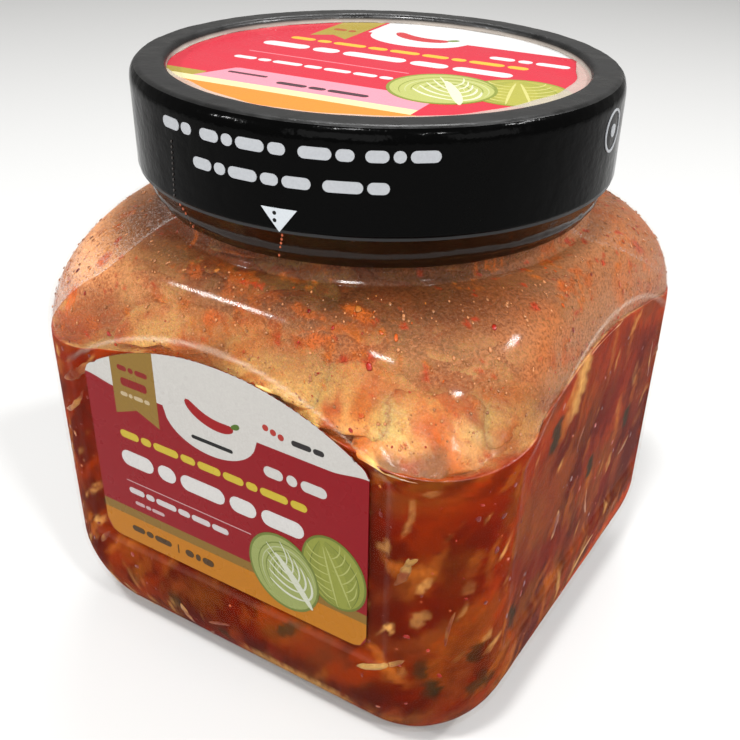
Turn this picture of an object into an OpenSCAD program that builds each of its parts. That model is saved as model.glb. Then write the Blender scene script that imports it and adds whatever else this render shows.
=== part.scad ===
// Square clear plastic jar with a wide round neck, filled with kimchi.
// It is shut by a black screw cap, and a shrink band wraps the cap and the top of the neck.
// The origin is the centre of the foot, +Z is up, and the front label faces -Y.

/* [Jar body] */
// Width of the body across its flat sides
body_w = 130.6; // [124:0.2:136]
// Corner radius of the body, seen from above
body_r = 25; // [20:0.5:30]
// Width of the flat foot that the jar stands on
foot_w = 105; // [98:0.5:112]
// Corner radius of the flat foot
foot_r = 14; // [10:0.5:20]
// Height at which the rounded foot meets the upright wall
foot_h = 25; // [18:0.5:30]
// Squareness of the foot's curve: 1 is a straight slope, 2 is a round one
foot_power = 1.6; // [1.3:0.1:2.4]
// Height at which the shoulder starts to lean in
shoulder_z = 83; // [80:0.5:86]
// Squareness of the shoulder's curve
shoulder_power = 2.15; // [1.8:0.05:2.6]
// How fast the square shoulder turns round on the way up
shoulder_rounding = 1.7; // [1.2:0.1:2.4]
// Thickness of the plastic wall
wall = 1.1; // [0.8:0.1:1.6]
// Thickness of the floor
floor_t = 1.6; // [1:0.1:2.5]

/* [Neck] */
// Radius of the shoulder where the neck stands on it
neck_foot_r = 52.7; // [51.5:0.1:54]
// Height of the top of the shoulder
neck_z = 114; // [112:0.5:116]
// Outer radius of the neck
neck_r = 51.6; // [50.5:0.1:52]
// Height of the small step between the shoulder and the neck
neck_step = 1.5; // [1:0.1:2.5]

/* [Panels] */
// Depth of the flat arched panel sunk into each side
panel_depth = 1.2; // [0.8:0.1:1.5]
// Width of the panel
panel_w = 87; // [84:0.5:90]
// Height of the panel's bottom edge
panel_z0 = 34.2; // [30:0.2:36]
// Height at which the panel's upright edges meet the arch
panel_z1 = 83; // [80:0.5:84]
// Height of the top of the arch
panel_z2 = 98.4; // [96:0.2:99]
// Width of the slope around the panel
panel_edge = 2; // [1:0.5:4]

/* [Front label] */
// Width of the label
label_w = 79; // [60:0.5:82]
// Height of the label's bottom edge
label_z0 = 35; // [34:0.5:44]
// Height at which the label's upright edges meet its arch
label_z1 = 83.7; // [76:0.1:84]
// Height of the top of the label
label_z2 = 95.8; // [90:0.1:96.5]
// Radius of the label's corners
label_r = 4; // [2:0.5:6]
// Thickness of the label
label_t = 0.2; // [0.1:0.05:0.3]

/* [Cap] */
// Outer radius of the cap
cap_r = 56; // [54.5:0.1:57]
// Height of the cap's lower edge
cap_z0 = 125.4; // [123:0.1:128]
// Height of the top of the cap's rim
cap_z1 = 147.2; // [146:0.1:149]
// Thickness of the cap's skirt
cap_skirt = 2.2; // [1.5:0.1:2.6]
// Radius of the round recess in the top of the cap
recess_r = 48.6; // [46:0.1:50]
// Depth of that recess
recess_depth = 2; // [1:0.1:2.6]
// Thickness of the cap under the recess
cap_disc = 1.6; // [1.2:0.1:2]
// Width and height of the rounding along the cap's top edge
cap_round = [2, 3.2];
// Radius of the round label in the recess
lid_label_r = 48.2; // [44:0.1:48.3]

/* [Shrink band] */
// Thickness of the band
band_t = 0.35; // [0.2:0.05:0.5]
// Height of the band's lower edge on the neck
band_z0 = 118; // [116.5:0.5:121]
// Radius of the band's inner edge, which laps over the round label
band_inner_r = 45.6; // [44:0.1:47]

/* [Kimchi] */
// Height of the kimchi where it meets the wall in the corners
fill_z = 87; // [84.5:0.5:90]
// Height of the heap above that, in the middle and along the panels
heap_h = 8.5; // [4:0.5:9]
// Height of the uneven lumps on the heap
lump_h = 1.6; // [0:0.1:2]

/* [Hidden] */
$fn = 96;
n_around = 64;                       // stations around the jar, a multiple of 8
half_w = body_w / 2;
half_foot = foot_w / 2;
panel_v = half_w - panel_depth;      // distance of the flat panel from the axis
mouth_z = cap_z1 - recess_depth - cap_disc;
arch_top = panel_z2 + panel_edge;    // top of the slope around the panel
deck_z = cap_z1 - recess_depth;      // floor of the recess in the cap

function clamp01(t) = min(1, max(0, t));

// Radius of the circle through the top of an arch and its two springing points
function arch_r(half, rise) = (half * half + rise * rise) / (2 * rise);

// How far the foot's curve has opened at height z: 0 on the floor, 1 at the wall
function foot_open(z) = 1 - pow(1 - clamp01(z / foot_h), foot_power);

// How much of the square body is left at height z on the shoulder: 1 below it, 0 at the neck
function shoulder_left(z) =
    pow(1 - pow(clamp01((z - shoulder_z) / (neck_z - shoulder_z)), shoulder_power), 1 / shoulder_power);

// Radius of the neck at height z, with its small step
function neck_at(z) = neck_foot_r + (neck_r - neck_foot_r) * clamp01((z - neck_z) / neck_step);

// Half width and corner radius of the rounded square at height z
function half_at(z) =
    z < shoulder_z ? half_foot + (half_w - half_foot) * pow(foot_open(z), 1 / foot_power)
    : neck_at(z) + (half_w - neck_at(z)) * shoulder_left(z);
function corner_at(z) =
    z < shoulder_z ? foot_r + (body_r - foot_r) * pow(foot_open(z), 1 / 2)
    : neck_at(z) + (body_r - neck_at(z)) * pow(shoulder_left(z), shoulder_rounding);

// Distance from the axis to a rounded square of half width w and corner radius r,
// in the direction a degrees away from the middle of a side, for a up to 45
function square_ray(a, w, r) =
    w * tan(a) <= w - r ? w / cos(a)
    : (w - r) * (cos(a) + sin(a)) + sqrt(r * r - pow((w - r) * (cos(a) - sin(a)), 2));

// How much of the panel's depth applies at sideways place u and height z: 1 inside, 0 outside
function panel_here(u, z) =
    let (radius = arch_r(panel_w / 2, panel_z2 - panel_z1),
         inside = min(panel_w / 2 - abs(u), z - panel_z0,
                      radius - norm([u, z - panel_z2 + radius])))
    clamp01(1 + inside / panel_edge);

// Point of the jar's surface at height z and angle a, moved in by the thickness t
function jar_point(a, z, t) =
    let (side = floor((a + 45) / 90) * 90,
         b = a - side,
         ray = square_ray(abs(b), half_at(z) - t, max(corner_at(z) - t, 1)),
         u = ray * sin(b),
         v = ray * cos(b),
         v_sunk = v - panel_here(u, z) * max(0, v - (panel_v - t)))
    [v_sunk * cos(side) - u * sin(side), v_sunk * sin(side) + u * cos(side)];

// Heights of the rings of the jar: the foot, the panel, the shoulder and the neck
foot_levels = [for (i = [0:5]) foot_h * (1 - pow(cos(i * 18), 2 / foot_power))];
wall_levels = [panel_z0 - panel_edge, panel_z0, 50, 66, 79];
shoulder_levels = concat(
    [for (i = [0:3]) shoulder_z + (arch_top - shoulder_z) * i / 4],
    [for (i = [0:5]) arch_top + (neck_z - arch_top) * sin(i * 18)]);
neck_levels = [neck_z + neck_step, mouth_z];
jar_levels = concat(foot_levels, wall_levels, shoulder_levels, neck_levels);
fill_levels = concat(foot_levels, wall_levels);

// Height of the inner surface that belongs to height z outside: the floor is lifted by its thickness
function inside_z(z) = z + floor_t * (1 - clamp01(z / foot_h));

function ring(z, t, lift) =
    [for (i = [0:n_around - 1]) let (p = jar_point(i * 360 / n_around, z, t)) [p.x, p.y, lift]];

function flat(list) = [for (part = list) for (item = part) item];

// Triangles between ring k and the next one, for rings 0 to last - 1
function band_faces(last) =
    flat([for (k = [0:last - 1], i = [0:n_around - 1])
        let (j = (i + 1) % n_around, low = k * n_around, high = low + n_around)
        [[low + i, high + i, high + j], [low + i, high + j, low + j]]]);

// Fans that close the first ring from below and ring k from above, around a middle point
function bottom_faces(middle) = [for (i = [0:n_around - 1]) [i, (i + 1) % n_around, middle]];
function top_faces(k, middle) =
    [for (i = [0:n_around - 1]) [k * n_around + (i + 1) % n_around, k * n_around + i, middle]];

// One surface that climbs the outside of the jar, turns over the mouth and goes down the inside
module jar() {
    n = len(jar_levels);
    rings = concat([for (z = jar_levels) ring(z, 0, z)],
                   [for (k = [n - 1:-1:0]) ring(jar_levels[k], wall, inside_z(jar_levels[k]))]);
    last = 2 * n - 1;
    count = (last + 1) * n_around;
    color([0.86, 0.62, 0.5, 0.5])
        polyhedron(
            points = concat(flat(rings), [[0, 0, 0], [0, 0, floor_t]]),
            faces = concat(bottom_faces(count), band_faces(last), top_faces(last, count + 1)));
}

// How near angle a is to a corner of the jar: 0 in the middle of a side, 1 in the corner
function cornerness(a) = (1 - cos(4 * a)) / 2;

// Height of the kimchi at angle a, at the fraction f of the way out to the wall
function kimchi_top(a, f) =
    fill_z + heap_h * (1 - f * f * cornerness(a))
    + lump_h * (0.5 * sin(2 * a + 40) + 0.35 * sin(5 * a + 70 + 160 * f)
                + 0.35 * (1 - f) * cos(3 * a + 250 * f));

// The kimchi fills the jar out to the wall, and its top is an uneven heap
module kimchi() {
    fractions = [1, 0.94, 0.82, 0.64, 0.42, 0.2];
    n = len(fill_levels);
    wall_rings = [for (z = fill_levels) ring(z, wall, inside_z(z))];
    top_rings = [for (f = fractions)
        [for (i = [0:n_around - 1])
            let (a = i * 360 / n_around, p = f * jar_point(a, kimchi_top(a, 1), wall))
            [p.x, p.y, kimchi_top(a, f)]]];
    last = n + len(fractions) - 1;
    peak = (last + 1) * n_around;
    color([0.66, 0.2, 0.08])
        polyhedron(
            points = concat(flat(concat(wall_rings, top_rings)),
                            [[0, 0, kimchi_top(0, 0)], [0, 0, floor_t]]),
            faces = concat(
                bottom_faces(peak + 1),
                band_faces(last),
                top_faces(last, peak)));
}

// Rounded outer edge of the cap, grown by t, from the flat rim down to the side
function cap_edge(t) =
    [for (i = [0:6])
        [cap_r - cap_round.x + (cap_round.x + t) * sin(i * 15),
         cap_z1 - cap_round.y + (cap_round.y + t) * cos(i * 15)]];

// Screw cap: a disc with a raised flat rim and a plain skirt
module cap() {
    color([0.06, 0.06, 0.065])
        rotate_extrude()
            polygon(concat(
                [[0, mouth_z], [0, deck_z], [recess_r, deck_z], [recess_r, cap_z1 - 0.6],
                 [recess_r + 0.6, cap_z1]],
                cap_edge(0),
                [[cap_r, cap_z0], [cap_r - cap_skirt, cap_z0], [cap_r - cap_skirt, mouth_z]]));
}

// Round label that lies in the recess of the cap
module lid_label() {
    color([0.84, 0.16, 0.27])
        translate([0, 0, deck_z])
            cylinder(r = lid_label_r, h = label_t);
}

// Thin band shrunk over the cap: from the edge of the round label, over the rim and down onto the neck
module shrink_band() {
    lap_z = deck_z + label_t;
    inner = concat(
        [[band_inner_r, lap_z], [recess_r, lap_z], [recess_r, cap_z1 - 0.6], [recess_r + 0.6, cap_z1]],
        cap_edge(0),
        [[cap_r, cap_z0], [neck_r, band_z0]]);
    outer = concat(
        [[band_inner_r, lap_z + band_t], [recess_r - band_t, lap_z + band_t],
         [recess_r - band_t, cap_z1 - 0.4], [recess_r + 0.4, cap_z1 + band_t]],
        cap_edge(band_t),
        [[cap_r + band_t, cap_z0], [neck_r + band_t, band_z0]]);
    count = len(outer);
    color([0.09, 0.06, 0.055])
        rotate_extrude()
            polygon(concat(inner, [for (i = [count - 1:-1:0]) outer[i]]));
}

// Outline of the front label: a box with an arched top, and all four corners rounded.
// The top corners' circles touch the arch from inside.
module label_outline() {
    radius = arch_r(label_w / 2, label_z2 - label_z1);
    corner_u = label_w / 2 - label_r;
    corner_z = label_z2 - radius + sqrt(pow(radius - label_r, 2) - corner_u * corner_u);
    intersection() {
        translate([0, label_z2 - radius])
            circle(r = radius, $fn = 180);
        union() {
            translate([-label_w / 2, label_z0 + label_r])
                square([label_w, corner_z - label_z0 - label_r]);
            translate([-corner_u, label_z0])
                square([2 * corner_u, label_z2 - label_z0]);
            for (side = [-1, 1], z = [label_z0 + label_r, corner_z])
                translate([side * corner_u, z])
                    circle(r = label_r);
        }
    }
}

module front_label() {
    color([0.6, 0.06, 0.1])
        translate([0, -panel_v, 0])
            rotate([90, 0, 0])
                linear_extrude(label_t)
                    label_outline();
}

jar();
kimchi();
cap();
shrink_band();
lid_label();
front_label();
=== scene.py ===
"""Looks of the kimchi jar: a clear square jar, its kimchi, its cap and band, and the printed labels.

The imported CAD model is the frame. Lengths in this script are millimetres, and MM turns them into
metres when a mesh is made. The front label faces -Y, and +Z is up.
"""
import math

import bpy
import numpy as np
from mathutils import Matrix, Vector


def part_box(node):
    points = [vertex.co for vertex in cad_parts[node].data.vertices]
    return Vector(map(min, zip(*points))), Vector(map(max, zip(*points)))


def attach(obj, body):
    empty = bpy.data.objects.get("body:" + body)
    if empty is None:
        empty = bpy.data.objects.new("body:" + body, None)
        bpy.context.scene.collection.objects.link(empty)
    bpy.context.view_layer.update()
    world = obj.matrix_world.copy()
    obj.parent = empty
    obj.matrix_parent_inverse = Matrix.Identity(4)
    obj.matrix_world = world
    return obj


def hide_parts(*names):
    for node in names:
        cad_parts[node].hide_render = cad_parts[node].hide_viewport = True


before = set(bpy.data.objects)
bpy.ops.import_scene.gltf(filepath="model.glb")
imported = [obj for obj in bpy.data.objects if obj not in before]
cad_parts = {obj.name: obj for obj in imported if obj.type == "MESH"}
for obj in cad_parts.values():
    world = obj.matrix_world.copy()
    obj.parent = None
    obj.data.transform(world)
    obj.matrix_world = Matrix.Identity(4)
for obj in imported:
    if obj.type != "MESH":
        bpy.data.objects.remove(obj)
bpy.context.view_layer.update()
MM = 0.001


# ---------------- sizes from the frame


def node_box(node):
    """Lowest and highest corner of a CAD node, in millimetres."""
    low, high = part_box(node)
    return np.array(low) / MM, np.array(high) / MM


JAR_HIGH = node_box("jar")[1]
CAP_LOW, CAP_HIGH = node_box("cap")
BAND_LOW, BAND_HIGH = node_box("shrink_band")
DISC_LOW, DISC_HIGH = node_box("lid_label")
LABEL_LOW, LABEL_HIGH = node_box("front_label")

HALF_W = JAR_HIGH[0]            # half width of the body
MOUTH_Z = JAR_HIGH[2]           # top of the neck
CAP_R = CAP_HIGH[0]             # radius of the cap
BAND_R = BAND_HIGH[0]           # radius of the cap with its band
DISC_R = DISC_HIGH[0]           # radius of the round label
DISC_Z = DISC_HIGH[2]           # top face of the round label

# The jar's form, as in the CAD model
BODY_R = 25.0                   # corner radius of the body
HALF_FOOT = 52.5                # half width of the foot
FOOT_R = 14.0                   # corner radius of the foot
FOOT_H = 25.0                   # height of the foot's curve
FOOT_POWER = 1.6
SHOULDER_Z = 83.0
SHOULDER_POWER = 2.15
SHOULDER_ROUNDING = 1.7
WALL = 1.1
FLOOR_T = 1.6
NECK_FOOT_R = 52.7
NECK_Z = 114.0
NECK_R = 51.6
NECK_STEP = 1.5
PANEL_DEPTH = 1.2               # how far each side's panel is sunk
PANEL_HALF = 43.5               # half its width
PANEL_Z0, PANEL_Z1, PANEL_Z2 = 34.2, 83.0, 98.4     # its foot, where its arch springs, and its top
PANEL_EDGE = 2.0                # width of the slope around it
LABEL_Z1 = 83.7                 # height at which the front label's arch springs
LABEL_R = 4.0                   # radius of its corners
FILL_Z = 87.0                   # height of the kimchi at the wall
HEAP_H = 8.5                    # height of the heap above that

rng = np.random.default_rng(7)


# ---------------- numbers and colours


def linear(*srgb):
    """Linear colour from display values of 0 to 255."""
    c = np.array(srgb, float) / 255
    return np.where(c <= 0.04045, c / 12.92, ((c + 0.055) / 1.055) ** 2.4)


def clamp(t):
    return np.clip(t, 0.0, 1.0)


def smooth(low, high, t):
    """Rises smoothly from 0 at low to 1 at high."""
    t = clamp((t - low) / (high - low))
    return t * t * (3 - 2 * t)


def stack(*parts):
    """Points or faces from arrays of their parts, which may also be single numbers."""
    return np.stack(np.broadcast_arrays(*parts), -1)


def filled(points, colour):
    """One colour at each of the points."""
    return np.tile(colour, points.shape[:-1] + (1,))


def blend(colour, new, share):
    """Lays a colour over an array of colours, as much as share says at each point."""
    colour += (new - colour) * share[..., None]


LATTICE = np.random.default_rng(11).random((32, 32, 32))


def noise(points, scale, seed=0):
    """Smooth noise from 0 to 1 at points (..., 3) in millimetres, with lumps about scale across."""
    p = points / scale + seed * 7.31
    cell = np.floor(p).astype(int)
    t = p - cell
    t = t * t * (3 - 2 * t)
    total = 0
    for corner in np.ndindex(2, 2, 2):
        i = (cell + corner) % 32
        weight = np.prod(np.where(np.array(corner) == 1, t, 1 - t), axis=-1)
        total = total + weight * LATTICE[i[..., 0], i[..., 1], i[..., 2]]
    return total


def fractal(points, scale, seed=0, octaves=3):
    """Noise with finer noise on it, from 0 to 1."""
    total, reach = 0, 0
    for k in range(octaves):
        total = total + noise(points, scale / 2 ** k, seed + k) / 1.7 ** k
        reach += 1 / 1.7 ** k
    return total / reach


# ---------------- the form of the jar


def foot_open(z):
    return 1 - (1 - clamp(z / FOOT_H)) ** FOOT_POWER


def shoulder_left(z):
    t = clamp((z - SHOULDER_Z) / (NECK_Z - SHOULDER_Z))
    return (1 - t ** SHOULDER_POWER) ** (1 / SHOULDER_POWER)


def neck_at(z):
    return NECK_FOOT_R + (NECK_R - NECK_FOOT_R) * smooth(0, NECK_STEP, z - NECK_Z)


def half_at(z):
    """Half width of the rounded square at height z."""
    low = HALF_FOOT + (HALF_W - HALF_FOOT) * foot_open(z) ** (1 / FOOT_POWER)
    high = neck_at(z) + (HALF_W - neck_at(z)) * shoulder_left(z)
    return np.where(z < SHOULDER_Z, low, high)


def corner_at(z):
    """Corner radius of the rounded square at height z."""
    low = FOOT_R + (BODY_R - FOOT_R) * foot_open(z) ** 0.5
    high = neck_at(z) + (BODY_R - neck_at(z)) * shoulder_left(z) ** SHOULDER_ROUNDING
    return np.where(z < SHOULDER_Z, low, high)


def square_ray(a, w, r):
    """Distance to a rounded square of half width w and corner radius r, at a radians from a side."""
    c = w - r
    lean = r * r - (c * (np.cos(a) - np.sin(a))) ** 2
    corner = c * (np.cos(a) + np.sin(a)) + np.sqrt(np.maximum(lean, 0))
    return np.where(w * np.tan(a) <= c, w / np.cos(a), corner)


def arch_radius(half, rise):
    return (half * half + rise * rise) / (2 * rise)


def panel_here(u, z):
    """How much of the sunk panel's depth applies: 1 inside, 0 outside."""
    radius = arch_radius(PANEL_HALF, PANEL_Z2 - PANEL_Z1)
    arch = radius - np.hypot(u, z - PANEL_Z2 + radius)
    inside = np.minimum(np.minimum(PANEL_HALF - abs(u), z - PANEL_Z0), arch)
    return smooth(-PANEL_EDGE, 0, inside)


def jar_point(angle, z, inset):
    """x and y of the jar's surface at an angle in radians and height z, moved in by inset."""
    side = np.floor(angle / (math.pi / 2) + 0.5) * (math.pi / 2)
    a = angle - side
    ray = square_ray(abs(a), half_at(z) - inset, np.maximum(corner_at(z) - inset, 1))
    u, v = ray * np.sin(a), ray * np.cos(a)
    v = v - panel_here(u, z) * np.maximum(0, v - (HALF_W - PANEL_DEPTH - inset))
    return v * np.cos(side) - u * np.sin(side), v * np.sin(side) + u * np.cos(side)


def inside_z(z):
    """Height of the inner surface that belongs to height z outside."""
    return z + FLOOR_T * (1 - clamp(z / FOOT_H))


def run_of(*steps):
    """Distance covered so far along a line whose coordinates are given."""
    return np.concatenate([[0], np.cumsum(np.sqrt(sum(np.diff(c) ** 2 for c in steps)))])


def foot_levels(count):
    """Heights up the foot's curve, close together where it bends most."""
    turn = np.linspace(0, math.pi / 2, count)
    return FOOT_H * (1 - np.cos(turn) ** (2 / FOOT_POWER))


def shoulder_levels(count):
    """Heights up the shoulder's curve, close together where it bends most."""
    turn = np.linspace(0, math.pi / 2, count)
    return SHOULDER_Z + (NECK_Z - SHOULDER_Z) * np.sin(turn) ** (2 / SHOULDER_POWER)


# Places on the wall are given as s, the distance around it from the middle of the +X side, and w,
# the distance climbed along its outer profile.
AROUND = np.linspace(0, 2 * math.pi, 7201)
AROUND_S = run_of(*jar_point(AROUND, np.full_like(AROUND, 70.0), 0))
SPAN = AROUND_S[-1]
CLIMB = np.concatenate([
    foot_levels(200), np.linspace(FOOT_H, SHOULDER_Z, 30)[1:],
    shoulder_levels(200)[1:], np.linspace(NECK_Z, MOUTH_Z, 60)[1:]])
CLIMB_W = run_of(CLIMB, half_at(CLIMB))


def angle_at(s):
    return np.interp(np.mod(s, SPAN), AROUND_S, AROUND)


def even_angles(count):
    """Angles of points that are spaced evenly around the wall."""
    return angle_at(np.arange(count) / count * SPAN)


def climb_to(z):
    """The distance w at which the outer profile reaches height z."""
    return np.interp(z, CLIMB, CLIMB_W)


def inner_point(angle, z, inset):
    """Point inside the wall that belongs to height z outside, moved in by inset."""
    return stack(*jar_point(angle, z, inset), inside_z(z))


def wall_point(s, w, inset):
    return inner_point(angle_at(s), np.interp(w, CLIMB_W, CLIMB), inset)


def full_turn(count):
    """Angles of so many steps around a circle."""
    return np.arange(count) / count * 2 * math.pi


def unit(v):
    return v / np.maximum(np.linalg.norm(v, axis=-1, keepdims=True), 1e-9)


def polar(radius, angle, z):
    """Points at these distances from the jar's axis, angles and heights."""
    return stack(radius * np.cos(angle), radius * np.sin(angle), z)


def wall_frame(s, w, inset):
    """Point on the wall, its outward normal, and how much a step in s is shortened there."""
    e = 0.1
    ds = (wall_point(s + e, w, inset) - wall_point(s - e, w, inset)) / (2 * e)
    dw = wall_point(s, w + e, inset) - wall_point(s, w - e, inset)
    return wall_point(s, w, inset), unit(np.cross(ds, dw)), np.linalg.norm(ds, axis=-1)


def heading(points):
    """Angle around the jar at which each point lies."""
    return np.arctan2(points[..., 1], points[..., 0])


def cornerness(angle):
    """How near an angle is to a corner of the jar: 0 in the middle of a side, 1 in the corner."""
    return (1 - np.cos(4 * angle)) / 2


def kimchi_top(angle, f):
    """Height of the kimchi at the fraction f of the way out to the wall."""
    heap = FILL_Z - 0.8 + HEAP_H * (1 - f * f * cornerness(angle))
    return heap + 0.8 * np.sin(2 * angle + 0.7) + 0.5 * np.sin(5 * angle + 1.2 + 2.8 * f)


def contact_z(points):
    """Height at which the kimchi meets the wall, in the direction of each point."""
    return kimchi_top(heading(points), 1.0)


# ---------------- meshes


def make_mesh(name, points, blocks, materials, colours=None, slots=None, flat=False):
    """A mesh object from points in millimetres. The faces of one block all have the same number of
    corners. Colours are linear RGB at the points, with or without a cover."""
    points = np.asarray(points, float).reshape(-1, 3)
    sizes = np.concatenate([np.full(len(block), block.shape[1]) for block in blocks])
    corners = np.concatenate([block.ravel() for block in blocks])
    mesh = bpy.data.meshes.new(name)
    mesh.vertices.add(len(points))
    mesh.vertices.foreach_set("co", (points * MM).astype(np.float32).ravel())
    mesh.loops.add(len(corners))
    mesh.loops.foreach_set("vertex_index", corners.astype(np.int32))
    mesh.polygons.add(len(sizes))
    starts = np.concatenate([[0], np.cumsum(sizes)[:-1]])
    mesh.polygons.foreach_set("loop_start", starts.astype(np.int32))
    mesh.polygons.foreach_set("loop_total", sizes.astype(np.int32))
    for material in materials:
        mesh.materials.append(material)
    if slots is not None:
        mesh.polygons.foreach_set("material_index", np.asarray(slots, np.int32))
    mesh.update(calc_edges=True)
    mesh.polygons.foreach_set("use_smooth", np.full(len(sizes), not flat))
    if colours is not None:
        colours = np.asarray(colours, float).reshape(len(points), -1)
        rgba = np.ones((len(points), 4))
        rgba[:, :colours.shape[1]] = colours
        paint = mesh.color_attributes.new("paint", "FLOAT_COLOR", "POINT")
        paint.data.foreach_set("color", rgba.astype(np.float32).ravel())
    mesh.validate()
    piece = bpy.data.objects.new(name, mesh)
    bpy.context.scene.collection.objects.link(piece)
    return piece


def add_piece(name, slot, node, *mesh, **options):
    """A mesh that rides the one body and may stand for a CAD node; the slot is not used."""
    piece = make_mesh(name, *mesh, **options)
    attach(piece, "root")
    if node:
        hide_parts(node)


def ring_faces(rings, around):
    """Quads between closed rings of points that climb anticlockwise, facing out."""
    k, i = np.meshgrid(np.arange(rings - 1), np.arange(around), indexing="ij")
    j = (i + 1) % around
    quads = stack(k * around + i, k * around + j, (k + 1) * around + j, (k + 1) * around + i)
    return quads.reshape(-1, 4)


def fan_faces(first, around, middle, up):
    """Triangles from a ring of points to a middle point."""
    i = first + np.arange(around)
    j = first + (np.arange(around) + 1) % around
    ends = (i, j) if up else (j, i)
    return stack(*ends, middle)


def closed_form(rings, bottom_z, top_z):
    """Points and faces of rings (n, around, 3), closed by a middle point below and one above."""
    around = rings.shape[1]
    count = len(rings) * around
    points = np.concatenate([rings.reshape(-1, 3), [[0, 0, bottom_z], [0, 0, top_z]]])
    bottom = fan_faces(0, around, count, False)
    top = fan_faces(count - around, around, count + 1, True)
    return points, [ring_faces(len(rings), around), bottom, top]


def repeat_faces(block, count, size):
    """The same faces for count things of size points each."""
    return (np.arange(count)[:, None, None] * size + block[None]).reshape(-1, block.shape[1])


def tube_faces(count, rings, sides):
    """Faces of count closed tubes, each of so many rings."""
    caps = np.stack([np.arange(sides)[::-1], (rings - 1) * sides + np.arange(sides)])
    return [repeat_faces(block, count, rings * sides) for block in (ring_faces(rings, sides), caps)]


def blobs(s, w, long, wide, angle, rise, inset, ragged=0.15, sides=9):
    """Little closed domes on the wall, bulging outwards. Returns points (n, 2 * sides + 2, 3), blocks."""
    n = len(s)
    turn = full_turn(sides)
    edge = 1 + ragged * np.clip(rng.normal(size=(n, sides)), -2, 2)
    x = np.cos(turn) * edge * long[:, None] / 2
    y = np.sin(turn) * edge * wide[:, None] / 2
    zero = np.zeros((n, 1))
    x = np.concatenate([zero, 0.62 * x, x, zero], 1)
    y = np.concatenate([zero, 0.62 * y, y, zero], 1)
    lift = np.concatenate([[1], np.full(sides, 0.78), np.zeros(sides), [-0.4]]) * rise[:, None]
    c, k = np.cos(angle)[:, None], np.sin(angle)[:, None]
    inset = np.broadcast_to(inset, n)
    stretch = wall_frame(s, w, inset)[2][:, None]
    s, w = s[:, None] + (x * c - y * k) / stretch, w[:, None] + x * k + y * c
    point, normal, _ = wall_frame(s, w, inset[:, None])
    size = 2 * sides + 2
    band = ring_faces(2, sides)[:, ::-1] + 1
    tops = fan_faces(1, sides, 0, True)
    bases = fan_faces(1 + sides, sides, size - 1, False)
    blocks = [repeat_faces(block, n, size) for block in (band, tops, bases)]
    return point + normal * lift[..., None], blocks


def ribbons(centre, normal, half_w, half_t, sides=10):
    """Closed flattened tubes along middle lines (n, m, 3). Returns points (n, m * sides, 3), blocks."""
    n, m = half_w.shape
    along = unit(np.gradient(centre, axis=1))
    across = unit(np.cross(normal, along))
    turn = full_turn(sides)
    side = across[:, :, None] * (np.cos(turn)[:, None] * half_w[:, :, None, None])
    lift = unit(np.cross(along, across))[:, :, None] * (np.sin(turn)[:, None] * half_t[:, :, None, None])
    points = centre[:, :, None] + side + lift
    return points.reshape(n, m * sides, 3), tube_faces(n, m, sides)


# ---------------- materials


class Nodes:
    """A material and short names for what its node tree needs."""

    def __init__(self, name):
        self.material = bpy.data.materials.new(name)
        self.material.use_nodes = True
        self.tree = self.material.node_tree
        self.tree.nodes.clear()
        self.out = self.tree.nodes.new("ShaderNodeOutputMaterial")

    def put(self, socket, value):
        if isinstance(value, bpy.types.NodeSocket):
            self.tree.links.new(value, socket)
        elif socket.type == "RGBA":
            socket.default_value = (*value, 1)
        else:
            socket.default_value = value

    def add(self, kind, **inputs):
        node = self.tree.nodes.new("ShaderNode" + kind)
        for name, value in inputs.items():
            self.put(node.inputs[name.replace("_", " ")], value)
        return node

    def bsdf(self, kind, **inputs):
        return self.add("Bsdf" + kind, **inputs).outputs["BSDF"]

    def noise(self, lumps, detail=2.0, roughness=0.5):
        """Noise with lumps about so many millimetres across."""
        place = self.add("TexCoord").outputs["Object"]
        node = self.add("TexNoise", Vector=place, Scale=1 / (lumps * MM), Detail=detail,
                        Roughness=roughness)
        return node.outputs["Fac"]

    def grey(self, value, dark, light, low=0.3, high=0.7):
        """Maps a value from low..high to a grey from dark to light."""
        node = self.add("MapRange", Value=value)
        for name, number in (("From Min", low), ("From Max", high), ("To Min", dark), ("To Max", light)):
            node.inputs[name].default_value = number
        return node.outputs["Result"]

    def times(self, first, second):
        node = self.add("Math")
        node.operation = "MULTIPLY"
        self.put(node.inputs[0], first)
        self.put(node.inputs[1], second)
        return node.outputs[0]

    def tinted(self, colour, value, dark, light):
        """A colour times a grey that goes from dark to light with a noise."""
        node = self.add("VectorMath")
        node.operation = "SCALE"
        self.put(node.inputs[0], colour)
        self.put(node.inputs["Scale"], self.grey(value, dark, light))
        return node.outputs[0]

    def bump(self, height, strength, depth):
        return self.add("Bump", Height=height, Strength=strength, Distance=depth * MM).outputs["Normal"]

    def paint(self):
        node = self.add("VertexColor")
        node.layer_name = "paint"
        return node.outputs

    def mix(self, share, first, second):
        node = self.add("MixShader", Fac=share)
        self.put(node.inputs[1], first)
        self.put(node.inputs[2], second)
        return node.outputs["Shader"]

    def finish(self, shader):
        self.put(self.out.inputs["Surface"], shader)
        return self.material


def clear_plastic():
    """Thin clear plastic: what is behind it shows unbent, and it mirrors by a part of its Fresnel share.
    Where paint says so, along the panels' edges, it turns pale and milky: a painted highlight on the
    ridges."""
    n = Nodes("clear_plastic")
    paint = n.paint()
    ripple = n.bump(n.noise(11), 0.3, 0.6)
    rough = n.grey(n.noise(5), 0.06, 0.12)
    mirror = n.bsdf("Glossy", Color=(1, 1, 1), Roughness=rough, Normal=ripple)
    clear = n.bsdf("Transparent", Color=(0.985, 0.975, 0.965))
    fresnel = n.add("Fresnel", IOR=1.4, Normal=ripple).outputs["Fac"]
    painted_highlight = n.bsdf("Diffuse", Color=paint["Color"])
    body = n.mix(paint["Alpha"], clear, painted_highlight)
    return n.finish(n.mix(n.times(fresnel, 0.11), body, mirror))


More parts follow.
